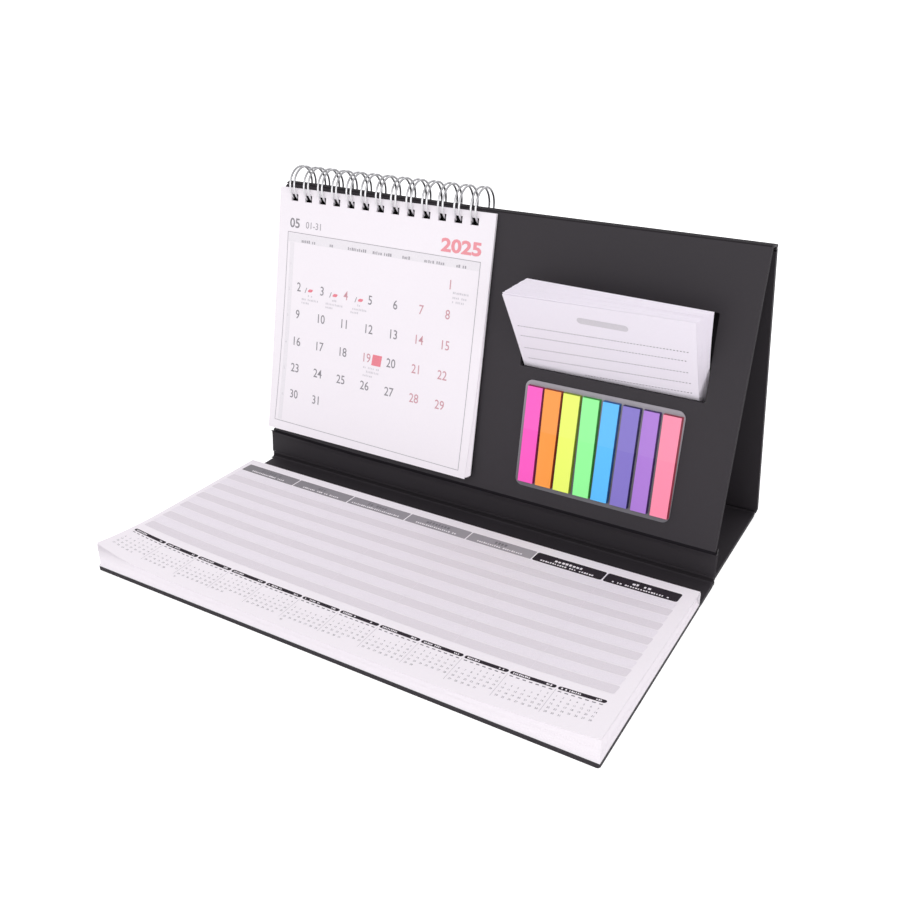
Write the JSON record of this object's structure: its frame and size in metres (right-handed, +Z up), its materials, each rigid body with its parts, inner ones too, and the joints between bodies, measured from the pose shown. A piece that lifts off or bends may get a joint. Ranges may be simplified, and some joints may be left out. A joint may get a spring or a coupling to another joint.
{
  "type": "folding desk calendar",
  "caption": "Folding desk stand in black board with a weekly planner pad, wire-bound month leaves on the sloping front, a note block in a window and film index flags.",
  "frame": {"origin": "on the desk at the centre of the footprint", "axes": "+X to the right along the ridge and +Y from the planner's front edge to the heel of the tent; +Z is up"},
  "size_m": [0.243, 0.1955, 0.154],
  "materials": {
    "cover_paper": "matt black covering paper over board",
    "crease_paper": "folded black covering paper",
    "binding_wire": "pale silver nylon-coated wire",
    "white_card": "white backing card",
    "white_sheets": "stack of uncoated white sheets",
    "printed_leaf": "white sheet printed with a month of numbers",
    "printed_planner": "white sheet printed with grey bands",
    "note_paper": "white note paper",
    "printed_note": "white note paper with dotted lines",
    "tray_card": "black card tray",
    "flag_carrier": "translucent grey film card",
    "pad_glue": "dried padding glue",
    "film_pink": "fluorescent film flag, pink",
    "film_orange": "fluorescent film flag, orange",
    "film_yellow": "fluorescent film flag, yellow",
    "film_green": "fluorescent film flag, green",
    "film_blue": "fluorescent film flag, blue",
    "film_violet": "fluorescent film flag, violet",
    "film_lilac": "fluorescent film flag, lilac",
    "film_salmon": "fluorescent film flag, salmon"
  },
  "bodies": {
    "spine": {"spine_board": "cover_paper", "planner_hinge": "crease_paper", "foot_hinge": "crease_paper"},
    "planner": {"planner_board": "cover_paper", "pad_backing": "white_card", "pad_sheets": "white_sheets", "pad_top_sheet": "printed_planner", "pad_binding": "pad_glue"},
    "riser": {"riser_board": "cover_paper", "groove_hinge": "crease_paper"},
    "front": {"front_panel": "cover_paper", "ridge_strip": "cover_paper", "ridge_hinge": "crease_paper", "wire_binding": "binding_wire", "note_pocket": "tray_card", "flag_card": "flag_carrier", "flag_pink": "film_pink", "flag_orange": "film_orange", "flag_yellow": "film_yellow", "flag_green": "film_green", "flag_blue": "film_blue", "flag_violet": "film_violet", "flag_lilac": "film_lilac", "flag_salmon": "film_salmon"},
    "back": {"back_panel": "cover_paper", "heel_hinge": "crease_paper"},
    "floor": {"floor_panel": "cover_paper"},
    "calendar": {"calendar_backing": "white_card", "month_stack": "white_sheets"},
    "leaf": {"month_leaf": "printed_leaf"},
    "notes": {"note_block": "note_paper", "note_front_sheet": "printed_note"}
  },
  "joints": [
    {"name": "planner_fold", "type": "hinge", "parent": "spine", "child": "planner", "pos_m": [0, 0.00911, 0.0011], "axis": [-1, 0, 0], "range_deg": [0, 90]},
    {"name": "riser_fold", "type": "hinge", "parent": "spine", "child": "riser", "pos_m": [0, 0.02741, 0.0011], "axis": [-1, 0, 0], "range_deg": [-15, 0]},
    {"name": "cover_fold", "type": "hinge", "parent": "riser", "child": "front", "pos_m": [0, 0.02741, 0.0178], "axis": [-1, 0, 0], "range_deg": [-55, 0]},
    {"name": "tent_fold", "type": "hinge", "parent": "front", "child": "back", "pos_m": [0, 0.05828, 0.14185], "axis": [1, 0, 0], "range_deg": [0, 75]},
    {"name": "floor_fold", "type": "hinge", "parent": "back", "child": "floor", "pos_m": [0, 0.09529, 0.0016], "axis": [1, 0, 0], "range_deg": [-40, 0]},
    {"name": "stack_flip", "type": "hinge", "parent": "front", "child": "calendar", "pos_m": [0, 0.05266, 0.14491], "axis": [1, 0, 0], "range_deg": [-185, 0]},
    {"name": "leaf_flip", "type": "hinge", "parent": "calendar", "child": "leaf", "pos_m": [0, 0.05266, 0.14491], "axis": [-1, 0, 0], "range_deg": [0, 185]},
    {"name": "note_lift", "type": "slide", "parent": "front", "child": "notes", "axis": [0, -0.4538, 0.8911], "range_m": [0, 0.045]}
  ]
}
